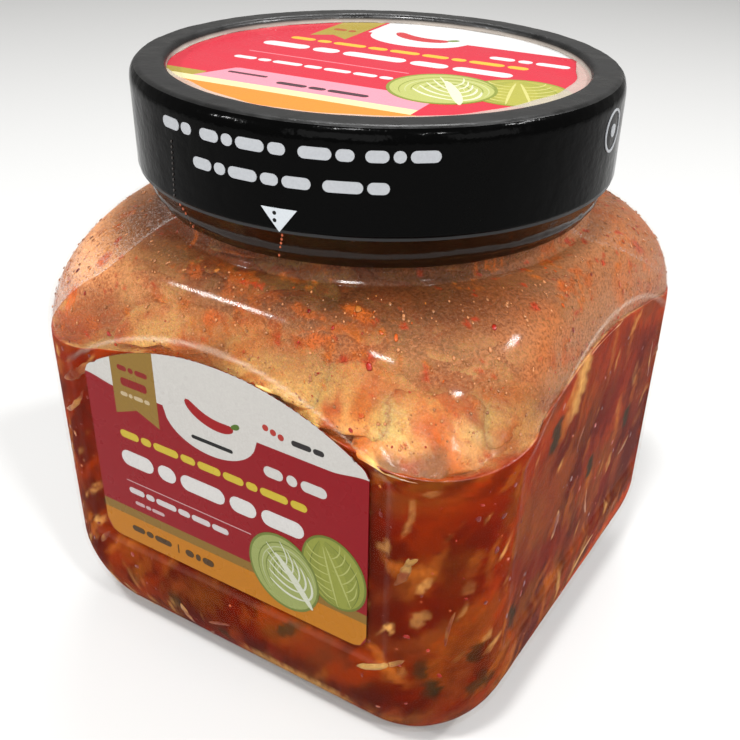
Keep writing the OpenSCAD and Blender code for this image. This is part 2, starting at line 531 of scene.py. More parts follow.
def steamed_plastic():
    """Inside of the shoulder: a haze of fine droplets and sauce. Paint gives its colour and cover."""
    n = Nodes("steamed_plastic")
    paint = n.paint()
    grain = n.noise(0.55, 3, 0.65)
    cover = n.times(paint["Alpha"], n.grey(grain, 0.55, 1.15, 0.36, 0.6))
    tone = n.tinted(paint["Color"], n.noise(0.9, 2), 0.78, 1.18)
    bead = n.bump(grain, 0.8, 0.35)
    film = n.bsdf("Principled", Base_Color=tone, Roughness=0.35, Specular_IOR_Level=0.15, Normal=bead)
    clear = n.bsdf("Transparent", Color=(1, 1, 1))
    return n.finish(n.mix(cover, clear, film))


def food(name, roughness, specular, coat=0.0, relief=0.0, grain=1.0, soft=0.3, depth=2.0):
    """Painted food, with a fine unevenness of tone and relief, and light that goes a little way in."""
    n = Nodes(name)
    tone = n.tinted(n.paint()["Color"], n.noise(grain, 3, 0.6), 0.82, 1.2)
    normal = n.bump(n.noise(grain * 1.3, 3, 0.6), 0.8, relief)
    rough = n.grey(n.noise(3), roughness * 0.75, roughness * 1.25)
    return n.finish(n.bsdf(
        "Principled", Base_Color=tone, Roughness=rough, Specular_IOR_Level=specular, Coat_Weight=coat,
        Coat_Roughness=0.08, Subsurface_Weight=soft, Subsurface_Radius=(1.0, 0.35, 0.15),
        Subsurface_Scale=depth * MM, Normal=normal))


def moulded(name, colour, roughness, specular):
    """Moulded plastic of nearly one colour, with a slight unevenness of tone, gloss and relief."""
    n = Nodes(name)
    tone = n.tinted(colour, n.noise(5), 0.9, 1.08)
    rough = n.grey(n.noise(8, 3), roughness * 0.75, roughness * 1.3)
    return n.finish(n.bsdf("Principled", Base_Color=tone, Roughness=rough, Specular_IOR_Level=specular,
                           Normal=n.bump(n.noise(3), 0.5, 0.05)))


def printed(name, roughness, specular):
    """A glossy printed label: its painted fields, with the faint grain of the paper under them."""
    n = Nodes(name)
    tone = n.tinted(n.paint()["Color"], n.noise(0.5, 3), 0.95, 1.04)
    rough = n.grey(n.noise(6), roughness * 0.8, roughness * 1.2)
    return n.finish(n.bsdf("Principled", Base_Color=tone, Roughness=rough, Specular_IOR_Level=specular,
                           Normal=n.bump(n.noise(2.5, 3), 0.4, 0.03)))


def shrunk_film(name, roughness, specular):
    """Shrunk film. Paint gives the ink's colour and cover: bare film is nearly clear."""
    n = Nodes(name)
    paint = n.paint()
    pucker = n.bump(n.noise(4, 3, 0.6), 0.5, 0.35)
    rough = n.grey(n.noise(7, 3), roughness * 0.7, roughness * 1.5, 0.35)
    ink = n.bsdf("Principled", Base_Color=paint["Color"], Roughness=rough, Specular_IOR_Level=specular,
                 Normal=pucker)
    clear = n.bsdf("Transparent", Color=(0.97, 0.96, 0.95))
    return n.finish(n.mix(paint["Alpha"], clear, ink))


# ---------------- the jar


def shell_levels(foot, wall, shoulder, neck):
    """Heights of the rings of one side of the shell, for so many on each stretch of it."""
    return np.concatenate([
        foot_levels(foot), np.linspace(PANEL_Z0 - 3, PANEL_Z0 + 1.5, max(2, foot // 3)),
        np.linspace(PANEL_Z0 + 2, SHOULDER_Z, wall)[:-1], shoulder_levels(shoulder),
        np.linspace(NECK_Z, NECK_Z + NECK_STEP, 6)[1:],
        np.linspace(NECK_Z + NECK_STEP, MOUTH_Z, neck)[1:]])


def smear(points, s, w, length, width, angle):
    """Share of one soft-edged smear on the inside of the wall at each point."""
    centre, normal, _ = wall_frame(np.array(s), np.array(w), WALL)
    level = unit(np.cross((0, 0, 1), normal))
    rise = np.cross(normal, level)
    along = level * math.cos(angle) + rise * math.sin(angle)
    across = np.cross(normal, along)
    away = points - centre
    far = stack(away @ along * 2 / length, away @ across * 2 / width, away @ normal / 3)
    return smooth(1.25, 0.6, np.linalg.norm(far, axis=-1) + 1.2 * (fractal(points, 2.4, 73) - 0.5))


# Smears that stand out on the shoulder: s, w, length, width, angle and colour. Their s and w were
# projected from places in the photo by a scratch script, and rounded to whole millimetres.
SMEARS = (
    (390, 119, 8, 4.5, 0.0, (78, 44, 18)),
    (396, 118, 9, 4, -0.4, (176, 84, 22)),
    (26, 112, 8, 3, -1.0, (168, 62, 34)),
    (313, 102, 9, 4, 1.3, (206, 92, 30)),
    (317, 113, 5, 3.5, 0.8, (190, 74, 34)),
    (358, 110, 5, 4, 0.0, (186, 88, 30)),
    (386, 112, 6, 3.5, 0.4, (190, 90, 28)),
    (462, 117, 5, 3.5, 0.0, (184, 86, 26)))


def haze(points):
    """Colour and cover of the droplets and sauce that cling inside the shoulder, and painted shade under
    the cap.
    """
    x, y, z = points[..., 0], points[..., 1], points[..., 2]
    colour = filled(points, linear(146, 94, 58))
    blend(colour, linear(168, 92, 42), smooth(0.4, 0.7, fractal(points, 17, 51)) * 0.75)
    pale = smooth(0.35, 0.65, fractal(points, 30, 53)) * smooth(0, -45, x)
    blend(colour, linear(236, 164, 104), pale * 0.9)
    # painted shade: darker brown just below the cap at the front of the neck, where the cap shades it
    blend(colour, linear(74, 38, 18), smooth(NECK_Z - 8, NECK_Z, z) * smooth(10, -40, y) * 0.9)
    dabs = smooth(0.56, 0.64, fractal(points, 3.4, 61, 4)) * smooth(0.36, 0.56, noise(points, 17, 66))
    blend(colour, linear(150, 70, 18), dabs * 0.75)
    long = fractal(points * (1, 1, 0.4), 2.2, 63)
    streak = smooth(0.6, 0.7, long) * smooth(0.42, 0.6, noise(points, 14, 68))
    blend(colour, linear(166, 82, 14), streak * 0.8)
    red = smooth(0.7, 0.76, fractal(points, 2.6, 69))
    blend(colour, linear(150, 40, 8), red * 0.9)
    cover = 0.26 + 0.3 * smooth(FILL_Z + 4, FILL_Z + 18, z)
    cover = cover + 0.16 * smooth(0.35, 0.7, fractal(points, 16, 71))
    cover = cover + 0.55 * np.maximum(smooth(0, 55, y), smooth(20, 60, abs(x)) * smooth(-60, -20, y))
    cover = np.maximum(cover, 0.75 * np.maximum(dabs, np.maximum(streak, red)))
    for *spot, tone in SMEARS:
        share = smear(points, *spot)
        blend(colour, linear(*tone) * 0.75, share * 0.85)
        cover = np.maximum(cover, 0.85 * share)
    cover = cover * smooth(-0.6, 1.4, z - contact_z(points)) * smooth(NECK_Z + 12, NECK_Z + 4, z)
    return np.concatenate([colour, clamp(cover)[..., None]], -1)


def painted_edge_highlight(points):
    """Colour and cover of a painted highlight: a pale line along the edges of the sunk panels, strongest
    along their arches.
    """
    x, y, z = points[..., 0], points[..., 1], points[..., 2]
    u = np.minimum(abs(x), abs(y))
    part = panel_here(u, z)
    # painted highlight line, strongest halfway up the slope around each panel
    highlight_line = (4 * part * (1 - part)) ** 2.5
    cover = highlight_line * (0.03 + 0.3 * smooth(80, 92, z)) * smooth(60, 62, np.maximum(abs(x), abs(y)))
    return np.concatenate([filled(points, linear(214, 196, 178)), cover[..., None]], -1)


def make_jar():
    """The jar: outer and inner surface in one closed shell. The inside of the shoulder is steamed."""
    columns = 500
    angles = even_angles(columns)
    outside = shell_levels(20, 7, 62, 9)
    inside = shell_levels(9, 5, 56, 7)
    rings = [stack(*jar_point(angles, z, 0), z) for z in outside]
    rings = np.array(rings + [inner_point(angles, z, WALL) for z in inside[::-1]])
    points, blocks = closed_form(rings, 0, FLOOR_T)
    ring_of = np.arange(len(blocks[0])) // columns
    steamed = (ring_of >= len(outside)) & (rings[ring_of + 1, 0, 2] > SHOULDER_Z)
    slots = np.concatenate([steamed, np.zeros(2 * columns)])
    paint = haze(points)
    outer = len(outside) * columns
    # painted highlight along the panels' edges on the outer surface
    paint[:outer] = painted_edge_highlight(points[:outer])
    plastics = [clear_plastic(), steamed_plastic()]
    add_piece("jar_shell", "clear_plastic", "jar", points, blocks, plastics, paint, slots)


def make_droplets():
    """Fine condensation on the inside of the shoulder."""
    n = 2200
    s, w = rng.uniform(0, SPAN, n), rng.uniform(climb_to(SHOULDER_Z + 6), climb_to(NECK_Z - 0.5), n)
    size = 0.3 + 0.6 * rng.random(n) ** 5
    points, blocks = blobs(s, w, size, size, np.zeros(n), size * 0.3, WALL - 0.15, 0.08, 7)
    high = points[:, 0, 2] > contact_z(points[:, 0]) + 2
    tone = linear(176, 116, 74) * rng.uniform(0.4, 1.0, (n, 1, 1))
    colours = np.broadcast_to(np.where(high[:, None, None], tone, linear(150, 50, 16)), points.shape)
    wet = food("droplets", 0.25, 0.25, coat=0.1, soft=0)
    add_piece("droplets", "clear_plastic", None, points, blocks, [wet], colours)


# ---------------- the kimchi

SAUCE = linear(94, 17, 3)
DEEP = linear(70, 14, 3)
BROWN = linear(108, 46, 17)
ORANGE = linear(134, 42, 5)
AMBER = linear(142, 76, 24)
CREAM = linear(196, 146, 80)
GREEN = linear(34, 33, 19)
FLAKE = linear(96, 6, 2)
CORE_INSET = WALL - 0.35        # the kimchi's face lies inside the wall, so no gap shows
CORE_COLUMNS = 720
CORE_Z = 80.0                   # up to here the rings of the kimchi's face are level
CORE_RISE = 12.0                # distance w that the wavy rings above them are taken to cover
HEAP_R = 64.0                   # radius over which the loose leaves follow the heap's form
LEAF_TOP = 108.0                # no leaf on the heap reaches higher


def leaning(points, stretch):
    """Points twisted and squeezed so that noise taken at them makes streaks that lean to the right."""
    lean = -0.0096 * points[..., 2]
    x = points[..., 0] * np.cos(lean) - points[..., 1] * np.sin(lean)
    y = points[..., 0] * np.sin(lean) + points[..., 1] * np.cos(lean)
    return stack(x, y, points[..., 2] / stretch)


def sauce_colour(points):
    """Colour of the sauce and shredded cabbage at the wall, before single pieces are laid on."""
    z = points[..., 2]
    streaky = leaning(points, 3.2)
    colour = filled(points, SAUCE)
    blend(colour, DEEP, smooth(0.38, 0.66, fractal(points, 22, 1)) * 0.95)
    blend(colour, BROWN, smooth(0.5, 0.72, fractal(leaning(points, 1.6), 12, 5)) * 0.75)
    blend(colour, ORANGE, smooth(0.52, 0.74, fractal(streaky, 7, 9)) * 0.8)
    amber = smooth(0.6, 0.76, fractal(streaky, 4.2, 15)) * smooth(0.4, 0.6, noise(points, 20, 17))
    blend(colour, AMBER, amber * 0.75)
    cream = smooth(0.66, 0.8, fractal(streaky, 3.0, 23)) * smooth(0.5, 0.65, noise(points, 15, 29))
    blend(colour, CREAM, cream * 0.8)
    near_top = smooth(FILL_Z - 15, FILL_Z - 1, z) * (0.3 + 0.7 * smooth(0.3, 0.7, noise(points, 11, 14)))
    blend(colour, ORANGE * 1.2, near_top * 0.7)
    # darker towards the bottom
    blend(colour, colour * 0.45, smooth(50, 5, z) * 0.75)
    return colour


def stamp(colour, w_rows, spot, ink, cover, soft):
    """Paints one bent, tapered piece on the rows of the wall. spot is s, w, length, width, angle, bend."""
    s0, w0, length, width, angle, bend = spot
    reach = length / 2 + width
    step = SPAN / CORE_COLUMNS
    i = np.arange(math.floor((s0 - reach) / step), math.ceil((s0 + reach) / step) + 1)
    k = np.nonzero(abs(w_rows - w0) < reach)[0]
    if len(k) == 0:
        return
    x, y = np.meshgrid(i * step - s0, w_rows[k] - w0)
    along = x * math.cos(angle) + y * math.sin(angle)
    across = -x * math.sin(angle) + y * math.cos(angle) - bend * along ** 2 / length
    across = across + 0.12 * width * np.sin(along * 1.3 + s0) + 0.1 * width * np.sin(along * 2.9 + w0)
    far = abs(along / (length / 2)) ** 3 + abs(across / (width / 2)) ** 2
    share = smooth(1 + soft, 1 - soft, far) * cover
    fibre = 0.5 + 0.5 * np.sin(across * 9 / width + 1.5 * np.sin(along / 4 + s0))
    window = np.ix_(k, i % CORE_COLUMNS)
    patch = colour[window]
    blend(patch, ink * (0.85 + 0.28 * fibre)[..., None], share)
    colour[window] = patch


# Pieces that stand out at the wall: spot, ink, cover and softness. Their s and w came from the photo
# in the same way as those of SMEARS.
MAIN_PIECES = (
    ((455, 85, 9, 6, 1.4, 0.1), GREEN, 0.9, 0.6),
    ((3, 60, 7, 4, 1.4, 0.1), GREEN, 0.9, 0.6),
    ((466, 91, 15, 7, 1.05, 0.2), CREAM, 0.7, 0.95),
    ((461, 88, 14, 5, 1.1, -0.1), AMBER, 0.7, 0.9),
    ((378, 13, 34, 7, 0.0, 0.0), CREAM * 0.7, 0.7, 0.9),
    ((405, 37, 13, 3, -0.7, 0.1), AMBER * 1.2, 0.6, 0.9),
    ((18, 25, 62, 6, 0.15, 0.0), ORANGE * 1.6, 0.8, 0.9))


def wall_pieces():
    """The cut pieces that press against the wall, the deepest first: spot, ink, cover, softness."""
    kinds = (
        # how many, length, width, ink, cover, softness, lean
        (70, (16, 34), (8, 15), DEEP, (0.4, 0.7), 0.95, None),
        (110, (10, 24), (5, 11), AMBER * 0.6, (0.25, 0.55), 0.97, 1.05),
        (150, (9, 22), (3, 8), ORANGE * 0.85, (0.3, 0.65), 0.95, 1.1),
        (60, (8, 18), (4, 8), BROWN, (0.4, 0.7), 0.9, 0.9),
        (150, (6, 17), (1.8, 4.2), AMBER, (0.25, 0.65), 0.9, 1.05),
        (34, (5, 9), (3, 5), GREEN, (0.6, 0.9), 0.7, 1.3),
        (130, (3, 11), (1.2, 3.2), CREAM * 0.9, (0.25, 0.55), 0.9, 1.05),
        (120, (8, 20), (4, 9), SAUCE, (0.3, 0.65), 0.95, None),
        (90, (8, 22), (3, 7), DEEP, (0.25, 0.55), 0.95, 1.0))
    for count, lengths, widths, ink, covers, soft, lean in kinds:
        for _ in range(count):
            angle = rng.uniform(0, math.pi) if lean is None else rng.normal(lean, 0.4)
            place = (rng.uniform(0, SPAN), rng.uniform(2, climb_to(FILL_Z + 6)))
            spot = (*place, rng.uniform(*lengths), rng.uniform(*widths), angle, rng.uniform(-0.35, 0.35))
            yield spot, ink * rng.uniform(0.75, 1.15), rng.uniform(*covers), soft
    yield from MAIN_PIECES


def core_wall(angles):
    """Rings of the kimchi's face at the wall, and the distance w of each."""
    level = np.concatenate([foot_levels(13), np.linspace(FOOT_H, CORE_Z, 62)[1:]])
    steps = np.linspace(0, 1, 19)[1:]
    rim = kimchi_top(angles, 1.0)
    heights = [*level, *(CORE_Z + (rim - CORE_Z) * t for t in steps)]
    rings = np.array([inner_point(angles, z, CORE_INSET) for z in heights])
    return rings, np.concatenate([climb_to(level), climb_to(CORE_Z) + CORE_RISE * steps])


def core_top(angles, rim):
    """Rings of the kimchi's rough top, from its rim inwards, and their colours."""
    shares = np.concatenate([[0.992], np.linspace(0.975, 0.03, 38)])
    x, y = rim[:, 0], rim[:, 1]
    rings = np.array([stack(x * f, y * f, kimchi_top(angles, f)) for f in shares])
    rough = smooth(1.0, 0.94, shares)[:, None]
    rings[..., 2] += (6.5 * (fractal(rings, 10, 21, 4) - 0.5) - 1.5) * rough
    colour = filled(rings, linear(170, 72, 22))
    blend(colour, linear(216, 168, 100), smooth(0.44, 0.6, fractal(rings, 11, 31)))
    blend(colour, linear(140, 32, 8), smooth(0.55, 0.72, fractal(rings, 7, 41)) * 0.8)
    return rings, colour


def make_kimchi_core():
    """Sauce and shredded cabbage: one closed form that reaches just into the wall, with a rough top."""
    angles = even_angles(CORE_COLUMNS)
    wall, w_rows = core_wall(angles)
    wall_colour = sauce_colour(wall)
    for piece in wall_pieces():
        stamp(wall_colour, w_rows, *piece)
    top, top_colour = core_top(angles, wall[-1])
    points, blocks = closed_form(np.concatenate([wall, top]), FLOOR_T, top[-1, :, 2].mean())
    colours = np.concatenate([wall_colour.reshape(-1, 3), top_colour.reshape(-1, 3), [DEEP, SAUCE]])
    upper = np.arange(len(blocks[0])) // CORE_COLUMNS >= len(wall) - 1
    slots = np.concatenate([upper, np.zeros(CORE_COLUMNS), np.ones(CORE_COLUMNS)])
    at_wall = food("kimchi_at_wall", 0.6, 0.0, relief=0.1, grain=1.2, soft=0.25)
    on_top = food("kimchi_on_top", 0.3, 0.5, coat=0.2, relief=0.6, grain=1.3)
    add_piece("kimchi_core", "kimchi", "kimchi", points, blocks, [at_wall, on_top], colours, slots)


def keep_inside(points, inset):
    """Presses points that would pass through the wall flat against it."""
    angle, z = np.mod(heading(points), 2 * math.pi), points[..., 2]
    x, y = jar_point(angle, z, inset)
    reach = np.hypot(x, y) / np.maximum(np.hypot(points[..., 0], points[..., 1]), 1e-6)
    points[..., :2] *= np.minimum(1, reach)[..., None]


def wall_ribbons(count, lengths, widths, thick, low, high, lean):
    """Cut strips pressed against the wall, scattered between two heights."""
    m = 12
    t = np.linspace(-1, 1, m)
    s0, w0 = rng.uniform(0, SPAN, (count, 1)), rng.uniform(low, high, (count, 1))
    angle = rng.normal(lean, 0.45, (count, 1))
    length, width = rng.uniform(*lengths, (count, 1)), rng.uniform(*widths, (count, 1))
    bend = rng.uniform(-0.3, 0.3, (count, 1))
    along, across = t * length / 2, bend * length * t ** 2 / 2
    s = s0 + along * np.cos(angle) - across * np.sin(angle)
    w = w0 + along * np.sin(angle) + across * np.cos(angle)
    centre, normal, _ = wall_frame(s, w, CORE_INSET)
    shape = (1 - abs(t) ** 2.5) ** 0.6 * (1 + 0.18 * rng.normal(size=(count, m)))
    half_w = np.maximum(0.05, width / 2 * shape)
    half_t = np.maximum(0.02, thick * (1 - abs(t) ** 3) * np.ones((count, 1)))
    return ribbons(centre, normal, half_w, half_t, 8)


def make_strips():
    """Strips of stem that show more sharply than the rest, close to the wall."""
    count = 80
    points, blocks = wall_ribbons(count, (5, 15), (0.8, 2.4), 0.1, 6, climb_to(FILL_Z + 4), 1.05)
    tint = rng.random((count, 1, 1))
    colours = AMBER * (1 - tint) + CREAM * tint
    colours = colours * rng.uniform(0.5, 0.95, (count, 1, 1)) * np.ones(points.shape)
    blend(colours, SAUCE, smooth(0.35, 0.65, fractal(points, 4, 81)) * 0.9)
    stem = food("stem_strips", 0.5, 0.1, relief=0.1, grain=0.9, soft=0.4)
    add_piece("stem_strips", "kimchi", None, points, blocks, [stem], colours)


def make_flakes():
    """Flakes and seeds of red pepper, in the sauce and on the inside of the shoulder."""
    n = 1500
    s, w = rng.uniform(0, SPAN, n), rng.uniform(3, climb_to(NECK_Z) - 1, n)
    dense = noise(wall_point(s, w, 0), 16, 91)
    keep = dense + rng.uniform(-0.2, 0.2, n) > 0.47
    s, w = s[keep], w[keep]
    n = len(s)
    long = 0.45 + 1.4 * rng.random(n) ** 2.5
    wide = long * rng.uniform(0.45, 0.9, n)
    in_sauce = w < climb_to(FILL_Z)
    inset = np.where(in_sauce, CORE_INSET - 0.02, WALL - 0.2)
    points, blocks = blobs(s, w, long, wide, rng.uniform(0, math.pi, n), np.full(n, 0.07), inset, 0.12)
    shades = np.array([FLAKE, linear(138, 20, 6), linear(160, 64, 12), linear(160, 92, 36)])
    sunk = rng.choice(4, n, p=(0.6, 0.22, 0.12, 0.06))
    splashed = rng.choice(4, n, p=(0.1, 0.25, 0.5, 0.15))
    kind = np.where(in_sauce, sunk, splashed)
    colours = np.repeat(shades[kind][:, None], points.shape[1], 1) * rng.uniform(0.7, 1.2, (n, 1, 1))
    wet = food("pepper_flakes", 0.3, 0.3, coat=0.1, relief=0.05, soft=0.2)
    add_piece("pepper_flakes", "kimchi", None, points, blocks, [wet], colours)


def leaf_paths():
    """Where the cut leaves on the heap lie: place, yaw, length, width, thickness, arch, tilt."""
    corner = [
        # the pale thick cuts that show in the corner between the front and the +X side
        ((48, -52, 89.5), 0.85, 34, 22, 4.0, 2.0, 0.55),
        ((30, -54, 93), 0.15, 36, 17, 3.2, 3.0, 0.35),
        ((53, -36, 90), 1.5, 26, 15, 3.0, 2.0, 0.3),
        ((8, -55, 95), -0.1, 34, 15, 2.6, 3.0, 0.2),
        ((-20, -52, 94), 0.2, 34, 15, 2.6, 3.0, 0.2)]
    yield from corner
    for _ in range(64):
        radius, around = 58 * math.sqrt(rng.uniform(0.02, 1)), rng.uniform(0, 2 * math.pi)
        x, y = radius * math.cos(around), radius * math.sin(around)
        z = float(kimchi_top(np.array(around), radius / HEAP_R)) + rng.uniform(-1.5, 1.5)
        yield ((x, y, z), rng.uniform(0, 2 * math.pi), rng.uniform(14, 34), rng.uniform(6, 15),
               rng.uniform(0.8, 2.4), rng.uniform(-1, 4), rng.normal(0, 0.3))


def leaf_colours(points, ripe):
    """Pale leaves with orange, red and green patches, a bruise, a blush and painted shade towards +X. ripe
    is 0 to 1 by leaf.
    """
    colours = filled(points, linear(242, 190, 112))
    more = ripe - 0.5
    blend(colours, linear(212, 118, 46), smooth(0.4, 0.6, fractal(points, 9, 111) + 0.16 * more))
    blend(colours, linear(188, 62, 14), smooth(0.54, 0.68, fractal(points, 6, 121) + 0.1 * more) * 0.9)
    blend(colours, linear(96, 92, 62), smooth(0.64, 0.74, fractal(points, 7, 131)) * (ripe > 0.7) * 0.8)
    # the bruise and the blush, whose places came from the photo in the same way as those of SMEARS
    for place, seed, outer, inner, colour in (((50, -60, 88), 135, 6.5, 2.5, (66, 60, 42)),
                                              ((48, -53, 93), 137, 7, 3, (198, 78, 18))):
        away = np.linalg.norm(points - place, axis=-1) + 8 * (fractal(points, 4, seed) - 0.5)
        blend(colours, linear(*colour), smooth(outer, inner, away) * 0.8)
    # painted shade: leaves towards the +X side are darkened to an orange brown, as less light falls there
    shaded_right_side = smooth(50, 60, points[..., 0]) * smooth(0.3, 0.6, noise(points, 14, 133))
    blend(colours, linear(160, 82, 34), shaded_right_side * 0.8)
    return colours


def make_leaves():
    """Cut cabbage leaves and stems on the heap, some of them pressed against the wall."""
    specs = list(leaf_paths())
    n, m, sides = len(specs), 26, 18
    t = np.linspace(-1, 1, m)
    place = np.array([spec[0] for spec in specs], float)[:, None]
    yaw, length, width, thick, arch, tilt = np.array([spec[1:] for spec in specs]).T[:, :, None]
    cos, sin = np.cos(yaw), np.sin(yaw)
    along = t * length / 2
    swerve = rng.uniform(-0.15, 0.15, (n, 1)) * length * t ** 2
    path = stack(along * cos - swerve * sin, along * sin + swerve * cos, -arch * t ** 2)
    normal = stack(np.sin(tilt) * sin, -np.sin(tilt) * cos, np.cos(tilt))
    shape = (1 - abs(t) ** 4) ** 0.5 * (1 + 0.1 * np.cumsum(rng.normal(size=(n, m)), 1) / 1.8)
    half_w = np.maximum(0.3, width / 2 * shape)
    half_t = np.maximum(0.25, thick / 2 * (1 - abs(t) ** 5))
    points, blocks = ribbons(place + path, normal * np.ones((n, m, 1)), half_w, half_t, sides)
    points[..., 2] += 3.0 * (fractal(points, 8, 101, 3) - 0.5)
    points[..., 2] = np.minimum(points[..., 2], LEAF_TOP)
    points[..., 2] = np.maximum(points[..., 2], contact_z(points) - 0.8)
    keep_inside(points, CORE_INSET - 0.08)
    colours = leaf_colours(points, rng.uniform(0, 1, (n, 1)))
    leaf = food("cut_leaves", 0.38, 0.35, coat=0.06, relief=0.35, grain=1.4, soft=0.5, depth=3)
    add_piece("cut_leaves", "kimchi", None, points, blocks, [leaf], colours)


# ---------------- the cap and its band

FILM = 0.3                      # thickness of the shrunk film
TAPER_Z = CAP_LOW[2] + 0.9      # below this the film tapers to the neck
RECESS_R = 48.4                 # the film on the side of the cap's recess
RIM_R = 49.1                    # inner edge of the rim's flat top


def lap_radius(angle):
    """Inner edge of the film on the round label. It laps furthest at the front right."""
    front_right = np.maximum(0, np.cos(angle + math.radians(48)))
    return 48.1 - 6.2 * front_right ** 0.6 + 0.35 * np.sin(7 * angle) + 0.2 * np.sin(19 * angle + 1)


def film_radius(z):
    """Radius of the film on the cap's side, and below it where it tapers to the neck."""
    drop = clamp((TAPER_Z - z) / (TAPER_Z - BAND_LOW[2]))
    return BAND_R - (BAND_R - NECK_R - FILM) * drop ** 0.8


def band_profile(angle):
    """Rings of the film's outer face, from the round label over the rim and down to the neck."""
    lap = lap_radius(angle)
    foot = RECESS_R - 0.1
    top, deck = BAND_HIGH[2], DISC_Z + 0.12
    rings = [(lap + (foot - lap) * t, deck + 0.1) for t in (0, 0.2, 0.5, 0.8)]
    rings += [(RECESS_R - 0.05, deck + 0.2), (RECESS_R, top - 0.8), (RIM_R, top - 0.06)]
    rings += [(RIM_R + 5 * t, top) for t in (0.2, 0.5, 0.8, 0.97)]
    for t in np.linspace(0, math.pi / 2, 10):
        rings.append((BAND_R - 2.3 + 2.3 * math.sin(t), top - 3.5 + 3.5 * math.cos(t)))
    rings += [(BAND_R, z) for z in np.linspace(top - 4.5, CAP_LOW[2] + 1.2, 16)]
    rings += [(film_radius(z), z) for z in np.linspace(TAPER_Z, BAND_LOW[2], 14)]
    return np.array([polar(radius, angle, z) for radius, z in rings])


def band_paint(points):
    """Ink and cover of the film: black on the cap, smoky below it and bare on the round label."""
    radius, z = np.hypot(points[..., 0], points[..., 1]), points[..., 2]
    colour = filled(points, linear(3, 3, 3))
    below = smooth(CAP_LOW[2] + 0.6, CAP_LOW[2] - 0.4, z)
    blend(colour, linear(24, 11, 4), below)
    on_label = (z < DISC_Z + 0.6) & (z > CAP_HIGH[2] - 4) & (radius < DISC_R + 1)
    colour[on_label] = linear(196, 186, 176)
    cover = np.where(on_label, 0.3 + 0.12 * noise(points, 6, 171), 1 - 0.16 * below)
    return np.concatenate([colour, cover[..., None]], -1)


def crumpled(outer):
    """The film's outer face with its puckers, ripples and rolled lower edge, and the inner face."""
    radius, z = np.hypot(outer[..., 0], outer[..., 1]), outer[..., 2]
    pucker = 0.16 * (fractal(outer, 5, 141) - 0.5) * smooth(CAP_HIGH[2] - 7, CAP_HIGH[2] - 1, z)
    low = smooth(CAP_LOW[2] + 1, CAP_LOW[2] - 3, z)
    ripple = 0.5 * (fractal(outer * (1, 1, 0.9), 4.5, 151) - 0.5) * low
    sag = 0.12 * (fractal(outer * (1, 1, 0.35), 6, 161) - 0.5)
    out = unit(outer * (1, 1, 0))
    roll = 0.7 * np.exp(-((z - BAND_LOW[2] - 2.2 - 0.6 * noise(outer, 9, 163)) / 0.7) ** 2)
    outer = outer + out * (pucker + ripple + sag + roll - 0.1)[..., None]
    outer[..., 2] += np.where((z > CAP_HIGH[2] - 3) & (radius < CAP_R), pucker, 0)
    inner = outer - out * (FILM * smooth(DISC_R - 2, DISC_R + 4, radius) + 0.01)[..., None]
    inner[..., 2] -= np.where(radius < DISC_R, 0.06, np.where(z > CAP_HIGH[2] - 2, 0.2, 0))
    return outer, inner


def make_band():
    """Printed film shrunk over the cap: black on it, smoky on the neck, and bare on the round label."""
    columns = 540
    outer, inner = crumpled(band_profile(full_turn(columns)))
    rings = np.concatenate([outer, inner[::-1]])
    quads = ring_faces(len(rings), columns)[:, ::-1]
    i = np.arange(columns)
    j = (i + 1) % columns
    last = (len(rings) - 1) * columns
    edge = np.stack([last + i, i, j, last + j][::-1], -1)
    radius, z = np.hypot(rings[..., 0], rings[..., 1]).mean(1), rings[:, 0, 2]
    on_rim = (z > CAP_HIGH[2] - 0.5) & (radius < CAP_R - 1)
    on_neck = z < TAPER_Z
    slots = np.concatenate([(on_rim + 2 * on_neck)[np.arange(len(quads)) // columns], np.zeros(columns)])
    films = [shrunk_film("side_film", 0.13, 0.03), shrunk_film("rim_film", 0.36, 0.5),
             shrunk_film("neck_film", 0.12, 0.22)]
    paint = band_paint(rings)
    add_piece("band_film", "black_film", "shrink_band", rings, [quads, edge], films, paint, slots)


# ---------------- prints


WHITE = (226, 222, 216)         # the front label's white


